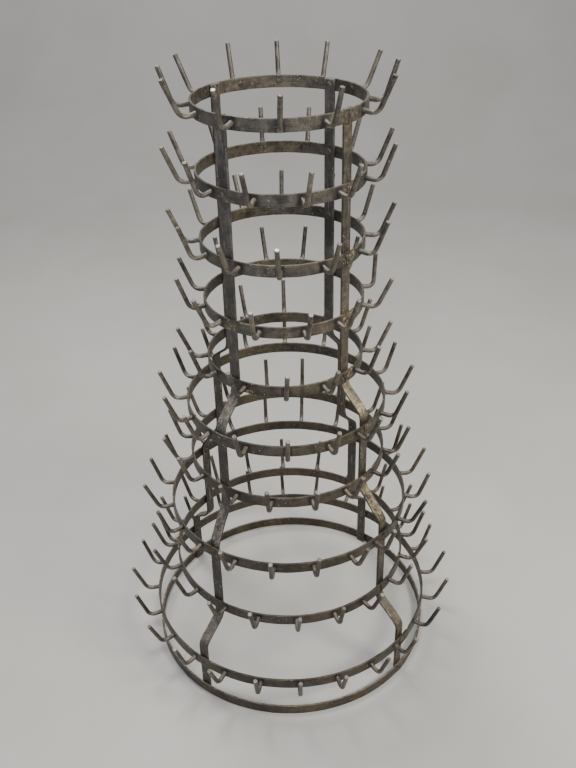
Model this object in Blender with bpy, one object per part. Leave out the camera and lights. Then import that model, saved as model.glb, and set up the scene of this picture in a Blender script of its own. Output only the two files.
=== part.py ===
"""Bottle drying rack: eleven riveted iron hoops on four flat uprights.

Ten hoops carry bent round-rod hooks and the plain eleventh hoop stands on the floor.
Each hook is a rod whose tenon is peened in the hoop's strip, so a hoop and its hooks
are one solid.  The uprights stand inside the hoops and step outward twice more below
the middle, where the hoops get wider.  One rivet joins each upright to each hoop.

Metres, +Z up, the front is toward -Y and the floor is z = 0.
"""
import math

import bpy

# Hoops, from the top down; the last one is the plain base hoop.
HOOP_TOPS = (1.1735, 1.0540, 0.9315, 0.8160, 0.6960, 0.5980, 0.4800, 0.3605, 0.2225, 0.0995, 0.0220)
HOOP_RADII = (0.150, 0.150, 0.150, 0.150, 0.150, 0.197, 0.197, 0.246, 0.246, 0.299, 0.299)
STRIP_HEIGHT = 0.022
STRIP_THICKNESS = 0.004
HOOP_SIDES = 40

# Hooks: how many on each hoop and where the first one sits, degrees from the front.
HOOK_COUNTS = (12, 12, 12, 12, 12, 16, 16, 20, 20, 24, 0)
FIRST_HOOK = (0.0, 13.0, 0.0, 13.0, 0.0, 0.0, 13.0, 10.5, 2.5, 2.5, 0.0)
# The hooks were spaced by eye: (hook, degrees off its even place) for those clearly off on each hoop.
OFF_PLACE = (
    ((1, -2), (2, 3), (3, 2), (5, 3), (7, -2), (10, -3)),
    ((1, -4), (6, -2), (7, -2), (8, 2), (10, -3)),
    ((0, -2), (1, -3), (2, 3), (3, 3), (7, -4), (10, -2)),
    ((1, -4), (5, 4), (6, -2), (8, 2), (10, -2)),
    ((1, -3), (7, -3), (9, 2)),
    ((2, -3), (14, -3)),
    ((1, -2), (5, -3), (8, -2), (13, -3), (14, 2)),
    ((2, -3), (17, -2)),
    ((2, -2), (5, -2), (16, -2)),
    (),
    (),
)
ROD_RADIUS = 0.0044
ROD_SIDES = 6
ELBOW_OUT = 0.0260
ELBOW_DROP = 0.0045
LEG_OUT = 0.0254
LEG_UP = 0.0649
BEND_CUT = 0.010
HOOK_TO_RIVET = 0.021
SIDE_LEAN = 2.6
OUT_LEAN = 2.8
# One hook of the fourth hoop has been knocked upright.
BENT_HOOK = (3, 3)
BENT_HOOK_LEAN = -19.0

# Uprights: flat bars inside the hoops, with their angle at each of the four widths.
UPRIGHT_NAMES = ("front_left", "front_right", "back_right", "back_left")
UPRIGHT_ANGLES = (
    (-40.5, -40.0, -37.8, -38.5),
    (49.0, 49.5, 50.6, 50.4),
    (140.4, 140.0, 140.8, 141.4),
    (-128.2, -129.6, -128.6, -129.0),
)
BAR_WIDTH = 0.021
BAR_THICKNESS = 0.005
BAR_TOP = 1.1735
BAR_FOOT = 0.0015
# Heights where each upright starts and ends its three steps outward.
STEP_STARTS = (
    (0.660, 0.431, 0.182),
    (0.668, 0.452, 0.182),
    (0.666, 0.441, 0.177),
    (0.652, 0.436, 0.169),
)
STEP_ENDS = (
    (0.614, 0.366, 0.135),
    (0.620, 0.385, 0.135),
    (0.617, 0.396, 0.140),
    (0.616, 0.370, 0.133),
)
LEVEL_OF_HOOP = (0, 0, 0, 0, 0, 1, 1, 2, 2, 3, 3)
LEVEL_RADII = (0.150, 0.197, 0.246, 0.299)

# Rivets.
SHANK_RADIUS = 0.0029
HOLE_RADIUS = 0.0036
HEAD_RADIUS = 0.0058
HEAD_HEIGHT = 0.0028
CROWN_RADIUS = 0.0036
RIVET_SIDES = 6
GAP = 0.0003

# Finishes of the old iron: base colour, roughness and metallic value.
HOOP_IRON = ("hoop_iron", (0.085, 0.075, 0.064), 0.60, 0.40)
BASE_IRON = ("base_iron", (0.080, 0.072, 0.062), 0.65, 0.35)
BAR_IRON = ("bar_iron", (0.090, 0.079, 0.067), 0.58, 0.40)
RIVET_IRON = ("rivet_iron", (0.080, 0.070, 0.060), 0.62, 0.35)
# Faces that meet at less than this many degrees are shaded as one round surface.
ROUND_BELOW = 65.0

# The hand-set hooks put the rack's outline this far off the hoops' common axis.
AXIS_X = 0.0007
AXIS_Y = -0.0007


def direction(angle):
    """Outward unit vector at an angle measured from the front toward +X."""
    turn = math.radians(angle)
    return math.sin(turn), -math.cos(turn)


def placed(angle, outward, sideways, height):
    """Point at a distance outward along an angle, and sideways from it."""
    out_x, out_y = direction(angle)
    return (AXIS_X + outward * out_x - sideways * out_y, AXIS_Y + outward * out_y + sideways * out_x, height)


def finish_material(finish):
    """The material of one finish, made the first time that it is asked for."""
    name, colour, roughness, metallic = finish
    if name in bpy.data.materials:
        return bpy.data.materials[name]
    material = bpy.data.materials.new(name)
    material.use_nodes = True
    shader = material.node_tree.nodes["Principled BSDF"]
    shader.inputs["Base Color"].default_value = (*colour, 1.0)
    shader.inputs["Roughness"].default_value = roughness
    shader.inputs["Metallic"].default_value = metallic
    material.diffuse_color = (*colour, 1.0)
    return material


def make_object(name, points, faces, finish=HOOP_IRON):
    mesh = bpy.data.meshes.new(name)
    mesh.from_pydata(points, [], faces)
    mesh.validate()
    mesh.shade_smooth()
    mesh.set_sharp_from_angle(angle=math.radians(ROUND_BELOW))
    mesh.materials.append(finish_material(finish))
    mesh.update()
    made = bpy.data.objects.new(name, mesh)
    bpy.context.scene.collection.objects.link(made)
    return made


def as_tool(tool):
    """Keep a solid only as the operand of a Boolean."""
    tool.hide_render = True
    tool.display_type = "WIRE"
    return tool


def add_boolean(target, tool, operation):
    modifier = target.modifiers.new(operation.lower(), "BOOLEAN")
    modifier.operation = operation
    modifier.solver = "EXACT"
    modifier.object = as_tool(tool)


def skin_rings(rings, points, faces):
    """Close a run of equal rings of points into one solid with flat ends."""
    base = len(points)
    count = len(rings[0])
    for ring in rings:
        points.extend(ring)
    for step in range(len(rings) - 1):
        low = base + step * count
        high = low + count
        for side in range(count):
            after = (side + 1) % count
            faces.append((low + side, low + after, high + after, high + side))
    faces.append(tuple(base + side for side in reversed(range(count))))
    last = base + (len(rings) - 1) * count
    faces.append(tuple(last + side for side in range(count)))


def wrapped(angle):
    return (angle + 180.0) % 360.0 - 180.0


def hook_angles(hoop):
    """Angles of a hoop's hooks, moved aside where an upright's rivet needs the room."""
    clear = math.degrees(HOOK_TO_RIVET / HOOP_RADII[hoop])
    off_place = dict(OFF_PLACE[hoop])
    found = []
    for place in range(HOOK_COUNTS[hoop]):
        angle = wrapped(FIRST_HOOK[hoop] + 360.0 * place / HOOK_COUNTS[hoop] + off_place.get(place, 0.0))
        for angles in UPRIGHT_ANGLES:
            upright = angles[LEVEL_OF_HOOP[hoop]]
            offset = wrapped(angle - upright)
            if abs(offset) < clear:
                angle = upright + math.copysign(clear, offset)
        found.append(angle)
    return found


def hook_leans(hoop, place):
    """Small sideways and outward leans of a hook's leg, degrees: they were bent by hand."""
    if (hoop, place) == BENT_HOOK:
        return 0.0, BENT_HOOK_LEAN
    sideways = SIDE_LEAN * math.sin(2.4 * place + 1.7 * hoop + 0.6)
    outward = OUT_LEAN * math.cos(3.1 * place + 2.3 * hoop)
    return sideways, outward


def hook_path(hoop, place, angle):
    """Centre line of a hook: out of the strip, round the bend and up the leg."""
    radius = HOOP_RADII[hoop]
    middle = HOOP_TOPS[hoop] - STRIP_HEIGHT / 2
    side_lean, out_lean = hook_leans(hoop, place)
    length = math.hypot(LEG_OUT, LEG_UP)
    lean = math.atan2(LEG_OUT, LEG_UP) + math.radians(out_lean)
    leg_out = math.sin(lean)
    leg_up = math.cos(lean)
    leg_side = math.sin(math.radians(side_lean))
    kept = 1.0 - BEND_CUT / ELBOW_OUT
    stations = (
        (-0.6 * STRIP_THICKNESS, 0.0, 0.0),
        (kept * ELBOW_OUT, 0.0, -kept * ELBOW_DROP),
        (ELBOW_OUT + BEND_CUT * leg_out, BEND_CUT * leg_side, BEND_CUT * leg_up - ELBOW_DROP),
        (ELBOW_OUT + length * leg_out, length * leg_side, length * leg_up - ELBOW_DROP),
    )
    return [placed(angle, radius + out, side, middle + rise) for out, side, rise in stations]


def subtract(first, second):
    return tuple(a - b for a, b in zip(first, second))


def unit(vector):
    length = math.sqrt(sum(part * part for part in vector))
    return tuple(part / length for part in vector)


def cross(first, second):
    return (
        first[1] * second[2] - first[2] * second[1],
        first[2] * second[0] - first[0] * second[2],
        first[0] * second[1] - first[1] * second[0],
    )


def rod_rings(path, angle):
    """Six-sided rings along a path that lies in the upright plane at an angle."""
    out_x, out_y = direction(angle)
    side = (-out_y, out_x, 0.0)
    rings = []
    for step, centre in enumerate(path):
        before = path[max(step - 1, 0)]
        after = path[min(step + 1, len(path) - 1)]
        along = unit(subtract(after, before))
        first = unit(subtract(side, tuple(part * sum(a * b for a, b in zip(side, along)) for part in along)))
        second = cross(along, first)
        ring = []
        for corner in range(ROD_SIDES):
            turn = 2.0 * math.pi * corner / ROD_SIDES
            across = ROD_RADIUS * math.cos(turn)
            over = ROD_RADIUS * math.sin(turn)
            ring.append(tuple(c + across * f + over * s for c, f, s in zip(centre, first, second)))
        rings.append(ring)
    return rings


def build_hooks(hoop):
    points = []
    faces = []
    for place, angle in enumerate(hook_angles(hoop)):
        skin_rings(rod_rings(hook_path(hoop, place, angle), angle), points, faces)
    return make_object("hooks_of_%02d" % (hoop + 1), points, faces)


def lathe_along(angle, height, profile, sides, points, faces):
    """Turn a profile of (distance outward, radius) about the outward line at an angle."""
    rings = []
    for outward, radius in profile:
        ring = []
        for corner in range(sides):
            turn = 2.0 * math.pi * (corner + 0.5) / sides
            ring.append(placed(angle, outward, radius * math.cos(turn), height + radius * math.sin(turn)))
        rings.append(ring)
    skin_rings(rings, points, faces)


def crossing_height(hoop):
    return HOOP_TOPS[hoop] - STRIP_HEIGHT / 2


def build_hoop(hoop, name):
    """One hoop's strip, with a clearance hole for each upright's rivet."""
    outer = HOOP_RADII[hoop]
    inner = outer - STRIP_THICKNESS
    top = HOOP_TOPS[hoop]
    bottom = top - STRIP_HEIGHT
    points = []
    faces = []
    for side in range(HOOP_SIDES):
        angle = 360.0 * side / HOOP_SIDES
        for radius, height in ((inner, bottom), (outer, bottom), (outer, top), (inner, top)):
            points.append(placed(angle, radius, 0.0, height))
    for side in range(HOOP_SIDES):
        here = 4 * side
        there = 4 * ((side + 1) % HOOP_SIDES)
        for corner in range(4):
            after = (corner + 1) % 4
            faces.append((here + corner, there + corner, there + after, here + after))
    finish = HOOP_IRON if HOOK_COUNTS[hoop] else BASE_IRON
    strip = make_object(name, points, faces, finish)
    if HOOK_COUNTS[hoop]:
        add_boolean(strip, build_hooks(hoop), "UNION")
    points = []
    faces = []
    for angles in UPRIGHT_ANGLES:
        angle = angles[LEVEL_OF_HOOP[hoop]]
        profile = ((inner - 0.006, HOLE_RADIUS), (outer + 0.003, HOLE_RADIUS))
        lathe_along(angle, crossing_height(hoop), profile, RIVET_SIDES, points, faces)
    add_boolean(strip, make_object(name + "_holes", points, faces), "DIFFERENCE")


def bar_face(radius):
    """Distance of a flat bar's outer face from the axis, just clear of a hoop's inside."""
    inside = (radius - STRIP_THICKNESS) * math.cos(math.pi / HOOP_SIDES) - GAP - 0.0001
    return math.sqrt(inside * inside - BAR_WIDTH * BAR_WIDTH / 4)


def bar_stations(upright):
    """Heights, outer-face distances and angles down one upright."""
    angles = UPRIGHT_ANGLES[upright]
    stations = [(BAR_TOP, bar_face(LEVEL_RADII[0]), angles[0])]
    for step in range(3):
        stations.append((STEP_STARTS[upright][step], bar_face(LEVEL_RADII[step]), angles[step]))
        stations.append((STEP_ENDS[upright][step], bar_face(LEVEL_RADII[step + 1]), angles[step + 1]))
    stations.append((BAR_FOOT, bar_face(LEVEL_RADII[3]), angles[3]))
    return stations


def bar_inner(stations, step):
    """Point on the bar's inner face at a station, mitred so the bar keeps its thickness."""
    height, outward, _ = stations[step]
    normals = []
    for low, high in ((step - 1, step), (step, step + 1)):
        if low < 0 or high >= len(stations):
            continue
        fall = stations[low][0] - stations[high][0]
        spread = stations[high][1] - stations[low][1]
        length = math.hypot(fall, spread)
        normals.append((-fall / length, -spread / length))
    normal_out = sum(normal[0] for normal in normals) / len(normals)
    normal_up = sum(normal[1] for normal in normals) / len(normals)
    scale = BAR_THICKNESS / (normal_out * normal_out + normal_up * normal_up)
    return outward + normal_out * scale, height + normal_up * scale


def build_upright(upright, name):
    """One flat bar, stepped outward three times, with a hole at each hoop."""
    stations = bar_stations(upright)
    half = BAR_WIDTH / 2
    rings = []
    for step, (height, outward, angle) in enumerate(stations):
        inward, inner_height = bar_inner(stations, step)
        rings.append([
            placed(angle, outward, half, height),
            placed(angle, outward, -half, height),
            placed(angle, inward, -half, inner_height),
            placed(angle, inward, half, inner_height),
        ])
    points = []
    faces = []
    skin_rings(rings, points, faces)
    bar = make_object(name, points, faces, BAR_IRON)
    points = []
    faces = []
    for hoop in range(len(HOOP_TOPS)):
        angle = UPRIGHT_ANGLES[upright][LEVEL_OF_HOOP[hoop]]
        face = bar_face(HOOP_RADII[hoop])
        profile = ((face - BAR_THICKNESS - 0.003, HOLE_RADIUS), (face + 0.003, HOLE_RADIUS))
        lathe_along(angle, crossing_height(hoop), profile, RIVET_SIDES, points, faces)
    add_boolean(bar, make_object(name + "_holes", points, faces), "DIFFERENCE")


def build_rivet(hoop, upright, name):
    """A round-headed rivet through one hoop and one upright, headed on both sides."""
    outside = HOOP_RADII[hoop] + GAP
    inside = bar_face(HOOP_RADII[hoop]) - BAR_THICKNESS - GAP
    profile = (
        (inside - HEAD_HEIGHT, CROWN_RADIUS),
        (inside, HEAD_RADIUS),
        (inside, SHANK_RADIUS),
        (outside, SHANK_RADIUS),
        (outside, HEAD_RADIUS),
        (outside + HEAD_HEIGHT, CROWN_RADIUS),
    )
    points = []
    faces = []
    angle = UPRIGHT_ANGLES[upright][LEVEL_OF_HOOP[hoop]]
    lathe_along(angle, crossing_height(hoop), profile, RIVET_SIDES, points, faces)
    make_object(name, points, faces, RIVET_IRON)


def hoop_name(hoop):
    if HOOK_COUNTS[hoop]:
        return "hooked_hoop_%02d" % (hoop + 1)
    return "base_hoop"


def build_rack():
    for old in list(bpy.data.objects):
        bpy.data.objects.remove(old)
    for old in list(bpy.data.materials):
        bpy.data.materials.remove(old)
    for hoop in range(len(HOOP_TOPS)):
        build_hoop(hoop, hoop_name(hoop))
    for upright, side in enumerate(UPRIGHT_NAMES):
        build_upright(upright, "upright_" + side)
        for hoop in range(len(HOOP_TOPS)):
            build_rivet(hoop, upright, "rivet_%s_%02d" % (side, hoop + 1))


build_rack()
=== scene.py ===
"""Looks for the bottle drying rack: old forged iron, hooks bent and peened by hand.

Every strip, rod, bar and rivet is modelled here in fine mesh at the place its CAD node
has, and takes a procedural iron material.  Metres, +Z up, the front is toward -Y.
"""
import math

import bpy
import numpy as np
from mathutils import Matrix, Vector, noise


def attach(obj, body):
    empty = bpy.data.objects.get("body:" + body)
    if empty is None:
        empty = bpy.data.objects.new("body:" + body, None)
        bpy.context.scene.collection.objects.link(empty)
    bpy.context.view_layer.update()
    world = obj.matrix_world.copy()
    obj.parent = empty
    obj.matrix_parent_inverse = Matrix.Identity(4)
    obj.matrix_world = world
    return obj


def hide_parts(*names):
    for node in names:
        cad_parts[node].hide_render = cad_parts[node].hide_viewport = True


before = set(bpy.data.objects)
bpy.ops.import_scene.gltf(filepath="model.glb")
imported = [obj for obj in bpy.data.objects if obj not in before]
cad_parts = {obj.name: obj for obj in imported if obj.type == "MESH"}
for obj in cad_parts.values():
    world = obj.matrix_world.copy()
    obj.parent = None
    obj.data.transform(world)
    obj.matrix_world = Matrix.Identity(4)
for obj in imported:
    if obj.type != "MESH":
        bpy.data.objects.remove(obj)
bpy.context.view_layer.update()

# ---- dimensions, the same as the CAD model's --------------------------------------
HOOP_TOPS = (1.1735, 1.0540, 0.9315, 0.8160, 0.6960, 0.5980, 0.4800, 0.3605, 0.2225, 0.0995, 0.0220)
HOOP_RADII = (0.150, 0.150, 0.150, 0.150, 0.150, 0.197, 0.197, 0.246, 0.246, 0.299, 0.299)
STRIP_HEIGHT = 0.022
STRIP_THICKNESS = 0.004
HOOP_SIDES = 40
HOOK_COUNTS = (12, 12, 12, 12, 12, 16, 16, 20, 20, 24, 0)
FIRST_HOOK = (0.0, 13.0, 0.0, 13.0, 0.0, 0.0, 13.0, 10.5, 2.5, 2.5, 0.0)
OFF_PLACE = (
    ((1, -2), (2, 3), (3, 2), (5, 3), (7, -2), (10, -3)),
    ((1, -4), (6, -2), (7, -2), (8, 2), (10, -3)),
    ((0, -2), (1, -3), (2, 3), (3, 3), (7, -4), (10, -2)),
    ((1, -4), (5, 4), (6, -2), (8, 2), (10, -2)),
    ((1, -3), (7, -3), (9, 2)),
    ((2, -3), (14, -3)),
    ((1, -2), (5, -3), (8, -2), (13, -3), (14, 2)),
    ((2, -3), (17, -2)),
    ((2, -2), (5, -2), (16, -2)),
    (),
    (),
)
ROD_RADIUS = 0.0044
ELBOW_OUT = 0.0260
ELBOW_DROP = 0.0045
LEG_OUT = 0.0254
LEG_UP = 0.0649
HOOK_TO_RIVET = 0.021
SIDE_LEAN = 2.6
OUT_LEAN = 2.8
BENT_HOOK = (3, 3)
BENT_HOOK_LEAN = -19.0
UPRIGHT_NAMES = ("front_left", "front_right", "back_right", "back_left")
UPRIGHT_ANGLES = (
    (-40.5, -40.0, -37.8, -38.5),
    (49.0, 49.5, 50.6, 50.4),
    (140.4, 140.0, 140.8, 141.4),
    (-128.2, -129.6, -128.6, -129.0),
)
BAR_WIDTH = 0.021
BAR_THICKNESS = 0.005
BAR_TOP = 1.1735
BAR_FOOT = 0.0015
# Heights where each upright starts and ends its three steps outward.
STEP_STARTS = (
    (0.660, 0.431, 0.182),
    (0.668, 0.452, 0.182),
    (0.666, 0.441, 0.177),
    (0.652, 0.436, 0.169),
)
STEP_ENDS = (
    (0.614, 0.366, 0.135),
    (0.620, 0.385, 0.135),
    (0.617, 0.396, 0.140),
    (0.616, 0.370, 0.133),
)
LEVEL_OF_HOOP = (0, 0, 0, 0, 0, 1, 1, 2, 2, 3, 3)
LEVEL_RADII = (0.150, 0.197, 0.246, 0.299)
HEAD_RADIUS = 0.0058
HEAD_HEIGHT = 0.0028
SHANK_RADIUS = 0.0029
CLEARANCE = 0.0004
AXIS_X = 0.0007
AXIS_Y = -0.0007

# ---- details that only the looks have ---------------------------------------------
STRIP_STEP = 0.0036
STRIP_CORNER = 0.0008
BAR_CORNER = 0.0010
ROD_SIDES = 18
# How far a hook's bend and an upright's bends reach from their corner, and a bar's rings apart.
BEND_REACH = 0.0155
STEP_REACH = 0.014
BAR_STEP = 0.006
# How far the influence of a joint and of its crust reaches, and of a hook's root on the strip.
JOINT_REACH = 0.020
CRUST_REACH = 0.017
ROOT_DARK_REACH = 0.0105
# The ends of every hoop are thinned and lapped over the front right upright.
LAP_UPRIGHT = 1
LAP_BEFORE_RIVET = 0.0068
LAP_LENGTH = 0.030
LAP_RAMP = 0.014
SCARF_THIN = 0.0020
SCARF_PROUD = 0.0011
# Small rivets of the lap: distance from its outer end, how far the face stands proud, radius.
LAP_RIVETS = ((-0.0062, 0.0, 0.0038), (0.0195, SCARF_PROUD, 0.0036))
TENON_RADIUS = 0.0047
# How strongly the three slopes of each upright are rubbed, and how golden the rubbed iron is; the same share
# gives each bar its olive cast.
RUB_OF_SLOPES = ((0.62, 0.58, 0.35), (1.0, 0.85, 0.20), (0.05, 0.02, 0.02), (0.02, 0.10, 0.02))
GOLD_AND_WARM_LIGHT_OF_UPRIGHT = (0.1, 1.0, 0.2, 0.3)
# How light each upright is painted, the back right one lighter as painted light, and how much painted shade
# darkens the slopes of the back ones.
TONE_AND_LIGHT_OF_UPRIGHT = (0.5, 0.55, 0.95, 0.5)
PAINTED_SHADE_OF_SLOPES = (0.0, 0.0, 0.9, 0.8)
# Flaky crust at some joints: (hoop, upright, how much).
CRUSTS = (
    (1, 1, 0.35), (2, 1, 0.9), (3, 1, 1.0), (4, 1, 1.0), (5, 1, 0.5), (6, 1, 0.7),
    (7, 1, 0.6), (9, 1, 0.35), (10, 1, 0.9), (3, 0, 0.3), (6, 3, 0.5), (7, 3, 0.6),
)
# A dried crumb stuck below a hook: hoop, angle, height from the strip's middle, pieces.
CRUMB = (4, -26.0, -0.0060, 11)


# ---- places on the rack -----------------------------------------------------------
def direction(angle):
    turn = math.radians(angle)
    return np.array((math.sin(turn), -math.cos(turn), 0.0))


def sideways(angle):
    out = direction(angle)
    return np.array((-out[1], out[0], 0.0))


AXIS = np.array((AXIS_X, AXIS_Y, 0.0))
UP = np.array((0.0, 0.0, 1.0))


def placed(angle, outward, aside, height):
    return AXIS + outward * direction(angle) + aside * sideways(angle) + height * UP


def wrapped(angle):
    return (angle + 180.0) % 360.0 - 180.0


def hook_angles(hoop):
    clear = math.degrees(HOOK_TO_RIVET / HOOP_RADII[hoop])
    off_place = dict(OFF_PLACE[hoop])
    found = []
    for place in range(HOOK_COUNTS[hoop]):
        angle = wrapped(FIRST_HOOK[hoop] + 360.0 * place / HOOK_COUNTS[hoop] + off_place.get(place, 0.0))
        for angles in UPRIGHT_ANGLES:
            upright = angles[LEVEL_OF_HOOP[hoop]]
            offset = wrapped(angle - upright)
            if abs(offset) < clear:
                angle = upright + math.copysign(clear, offset)
        found.append(angle)
    return found


def hook_leans(hoop, place):
    if (hoop, place) == BENT_HOOK:
        return 0.0, BENT_HOOK_LEAN
    aside = SIDE_LEAN * math.sin(2.4 * place + 1.7 * hoop + 0.6)
    outward = OUT_LEAN * math.cos(3.1 * place + 2.3 * hoop)
    return aside, outward


def middle_height(hoop):
    return HOOP_TOPS[hoop] - STRIP_HEIGHT / 2


def bar_face(radius):
    inside = (radius - STRIP_THICKNESS) * math.cos(math.pi / HOOP_SIDES) - CLEARANCE
    return math.sqrt(inside * inside - BAR_WIDTH * BAR_WIDTH / 4)


def crossings():
    """Places of all the joints of a hoop and an upright."""
    found = []
    for hoop in range(len(HOOP_TOPS)):
        for angles in UPRIGHT_ANGLES:
            angle = angles[LEVEL_OF_HOOP[hoop]]
            found.append(placed(angle, HOOP_RADII[hoop] - STRIP_THICKNESS, 0.0, middle_height(hoop)))
    return np.array(found)


CROSSINGS = crossings()
CRUST_OF_CROSSING = np.zeros(len(CROSSINGS))
for crusted_hoop, crusted_upright, crust_amount in CRUSTS:
    CRUST_OF_CROSSING[crusted_hoop * len(UPRIGHT_NAMES) + crusted_upright] = crust_amount


# ---- mesh building ----------------------------------------------------------------
class Mesher:
    """Collects closed tubes of equal rings into one mesh, with values at each point."""

    def __init__(self):
        self.points = []
        self.faces = []
        self.flat_faces = []
        self.values = {"edge": [], "tip": [], "rub": [], "gold_and_warm_light": [], "root_dark": [], "tone_and_shade": []}
        self.grain = []
        self.count = 0

    def tube(self, rings, grain, edge=0.0, tip=0.0, rub=0.0, gold_and_warm_light=0.0, root_dark=0.0, tone_and_shade=0.5):
        rings = np.asarray(rings, float)
        steps, sides = rings.shape[:2]
        base = self.count
        index = base + np.arange(steps * sides).reshape(steps, sides)
        after = np.roll(index, -1, axis=1)
        quads = np.stack((index[:-1], after[:-1], after[1:], index[1:]), axis=-1).reshape(-1, 4)
        self.faces.extend(quads.tolist())
        self.flat_faces.extend([False] * len(quads))
        self.faces.append(index[0][::-1].tolist())
        self.faces.append(index[-1].tolist())
        self.flat_faces.extend([True, True])
        self.points.append(rings.reshape(-1, 3))
        self.grain.append(np.broadcast_to(np.asarray(grain, float), rings.shape).reshape(-1, 3))
        given = {"edge": edge, "tip": tip, "rub": rub, "gold_and_warm_light": gold_and_warm_light, "root_dark": root_dark, "tone_and_shade": tone_and_shade}
        for name, value in given.items():
            self.values[name].append(np.broadcast_to(np.asarray(value, float), (steps, sides)).reshape(-1))
        self.count += steps * sides

    def build(self, name, material):
        points = np.concatenate(self.points)
        mesh = bpy.data.meshes.new(name)
        mesh.from_pydata(points.tolist(), [], self.faces)
        mesh.polygons.foreach_set("use_smooth", [not flat for flat in self.flat_faces])
        values = {key: np.concatenate(parts) for key, parts in self.values.items()}
        gaps = np.linalg.norm(points[:, None, :] - CROSSINGS[None, :, :], axis=2)
        values["joint"] = np.exp(-((gaps.min(axis=1) / JOINT_REACH) ** 2))
        values["crust"] = np.max(np.exp(-((gaps / CRUST_REACH) ** 2)) * CRUST_OF_CROSSING[None, :], axis=1)
        for key, data in values.items():
            attribute = mesh.attributes.new(key, "FLOAT", "POINT")
            attribute.data.foreach_set("value", data.astype(np.float32))
        attribute = mesh.attributes.new("grain", "FLOAT_VECTOR", "POINT")
        attribute.data.foreach_set("vector", np.concatenate(self.grain).astype(np.float32).reshape(-1))
        mesh.update()
        made = bpy.data.objects.new(name, mesh)
        bpy.context.scene.collection.objects.link(made)
        made.data.materials.append(material)
        return made


def soft_noise(points, scale, seed):
    """Smooth noise from -1 to 1 at each point."""
    shift = Vector((seed * 3.17, seed * 5.31, seed * 7.93))
    flat = np.asarray(points, float).reshape(-1, 3)
    found = [noise.noise(Vector(point) * scale + shift) for point in flat]
    return np.array(found).reshape(np.shape(points)[:-1])


def rounded_section(width, height, corner, across, along):
    """Points round a rectangle with rounded corners, with 1 where the corner is."""
    half_w = width / 2 - corner
    half_h = height / 2 - corner
    points = []
    edges = []
    runs = (
        ((half_w, -half_h), (half_w, half_h), (corner, 0.0), along, 0.0),
        ((half_w, half_h), (-half_w, half_h), (0.0, corner), across, 90.0),
        ((-half_w, half_h), (-half_w, -half_h), (-corner, 0.0), along, 180.0),
        ((-half_w, -half_h), (half_w, -half_h), (0.0, -corner), across, 270.0),
    )
    for start, end, offset, pieces, turn in runs:
        for step in range(pieces + 1):
            share = step / pieces
            x = start[0] + (end[0] - start[0]) * share + offset[0]
            y = start[1] + (end[1] - start[1]) * share + offset[1]
            points.append((x, y))
            edges.append(0.55 if step in (0, pieces) else 0.0)
        bend = math.radians(turn + 45.0)
        points.append((end[0] + corner * math.cos(bend), end[1] + corner * math.sin(bend)))
        edges.append(1.0)
    return np.array(points), np.array(edges)


# ---- materials --------------------------------------------------------------------
class Graph:
    """Short calls for making a node tree."""

    def __init__(self, name):
        self.material = bpy.data.materials.new(name)
        self.material.use_nodes = True
        self.tree = self.material.node_tree
        self.tree.nodes.clear()

    def node(self, kind, **settings):
        made = self.tree.nodes.new(kind)
        for key, value in settings.items():
            setattr(made, key, value)
        return made

    def feed(self, socket, value):
        if isinstance(value, bpy.types.NodeSocket):
            self.tree.links.new(value, socket)
        else:
            socket.default_value = value

    def attribute(self, name):
        return self.node("ShaderNodeAttribute", attribute_name=name)

    def noise(self, vector, scale, detail=4.0, roughness=0.6, distortion=0.0):
        made = self.node("ShaderNodeTexNoise")
        self.feed(made.inputs["Vector"], vector)
        made.inputs["Scale"].default_value = scale
        made.inputs["Detail"].default_value = detail
        made.inputs["Roughness"].default_value = roughness
        made.inputs["Distortion"].default_value = distortion
        return made.outputs["Fac"]

    def cells(self, vector, scale, randomness=1.0):
        made = self.node("ShaderNodeTexVoronoi")
        self.feed(made.inputs["Vector"], vector)
        made.inputs["Scale"].default_value = scale
        made.inputs["Randomness"].default_value = randomness
        return made.outputs["Distance"]

    def span(self, value, low, high, out_low=0.0, out_high=1.0, smooth=True):
        made = self.node("ShaderNodeMapRange")
        made.interpolation_type = "SMOOTHSTEP" if smooth else "LINEAR"
        self.feed(made.inputs["Value"], value)
        made.inputs["From Min"].default_value = low
        made.inputs["From Max"].default_value = high
        made.inputs["To Min"].default_value = out_low
        made.inputs["To Max"].default_value = out_high
        return made.outputs["Result"]

    def math(self, operation, first, second=0.0, clamp=False):
        made = self.node("ShaderNodeMath", operation=operation, use_clamp=clamp)
        self.feed(made.inputs[0], first)
        self.feed(made.inputs[1], second)
        return made.outputs[0]

    def mix(self, share, first, second, blend="MIX"):
        made = self.node("ShaderNodeMix", data_type="RGBA", blend_type=blend)
        self.feed(made.inputs[0], share)
        self.feed(made.inputs[6], first)
        self.feed(made.inputs[7], second)
        return made.outputs[2]

    def split_height(self, vector):
        made = self.node("ShaderNodeSeparateXYZ")
        self.feed(made.inputs[0], vector)
        return made.outputs["Z"]

    def stretched(self, vector, scale):
        made = self.node("ShaderNodeMapping")
        self.feed(made.inputs["Vector"], vector)
        made.inputs["Scale"].default_value = scale
        return made.outputs["Vector"]


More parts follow.
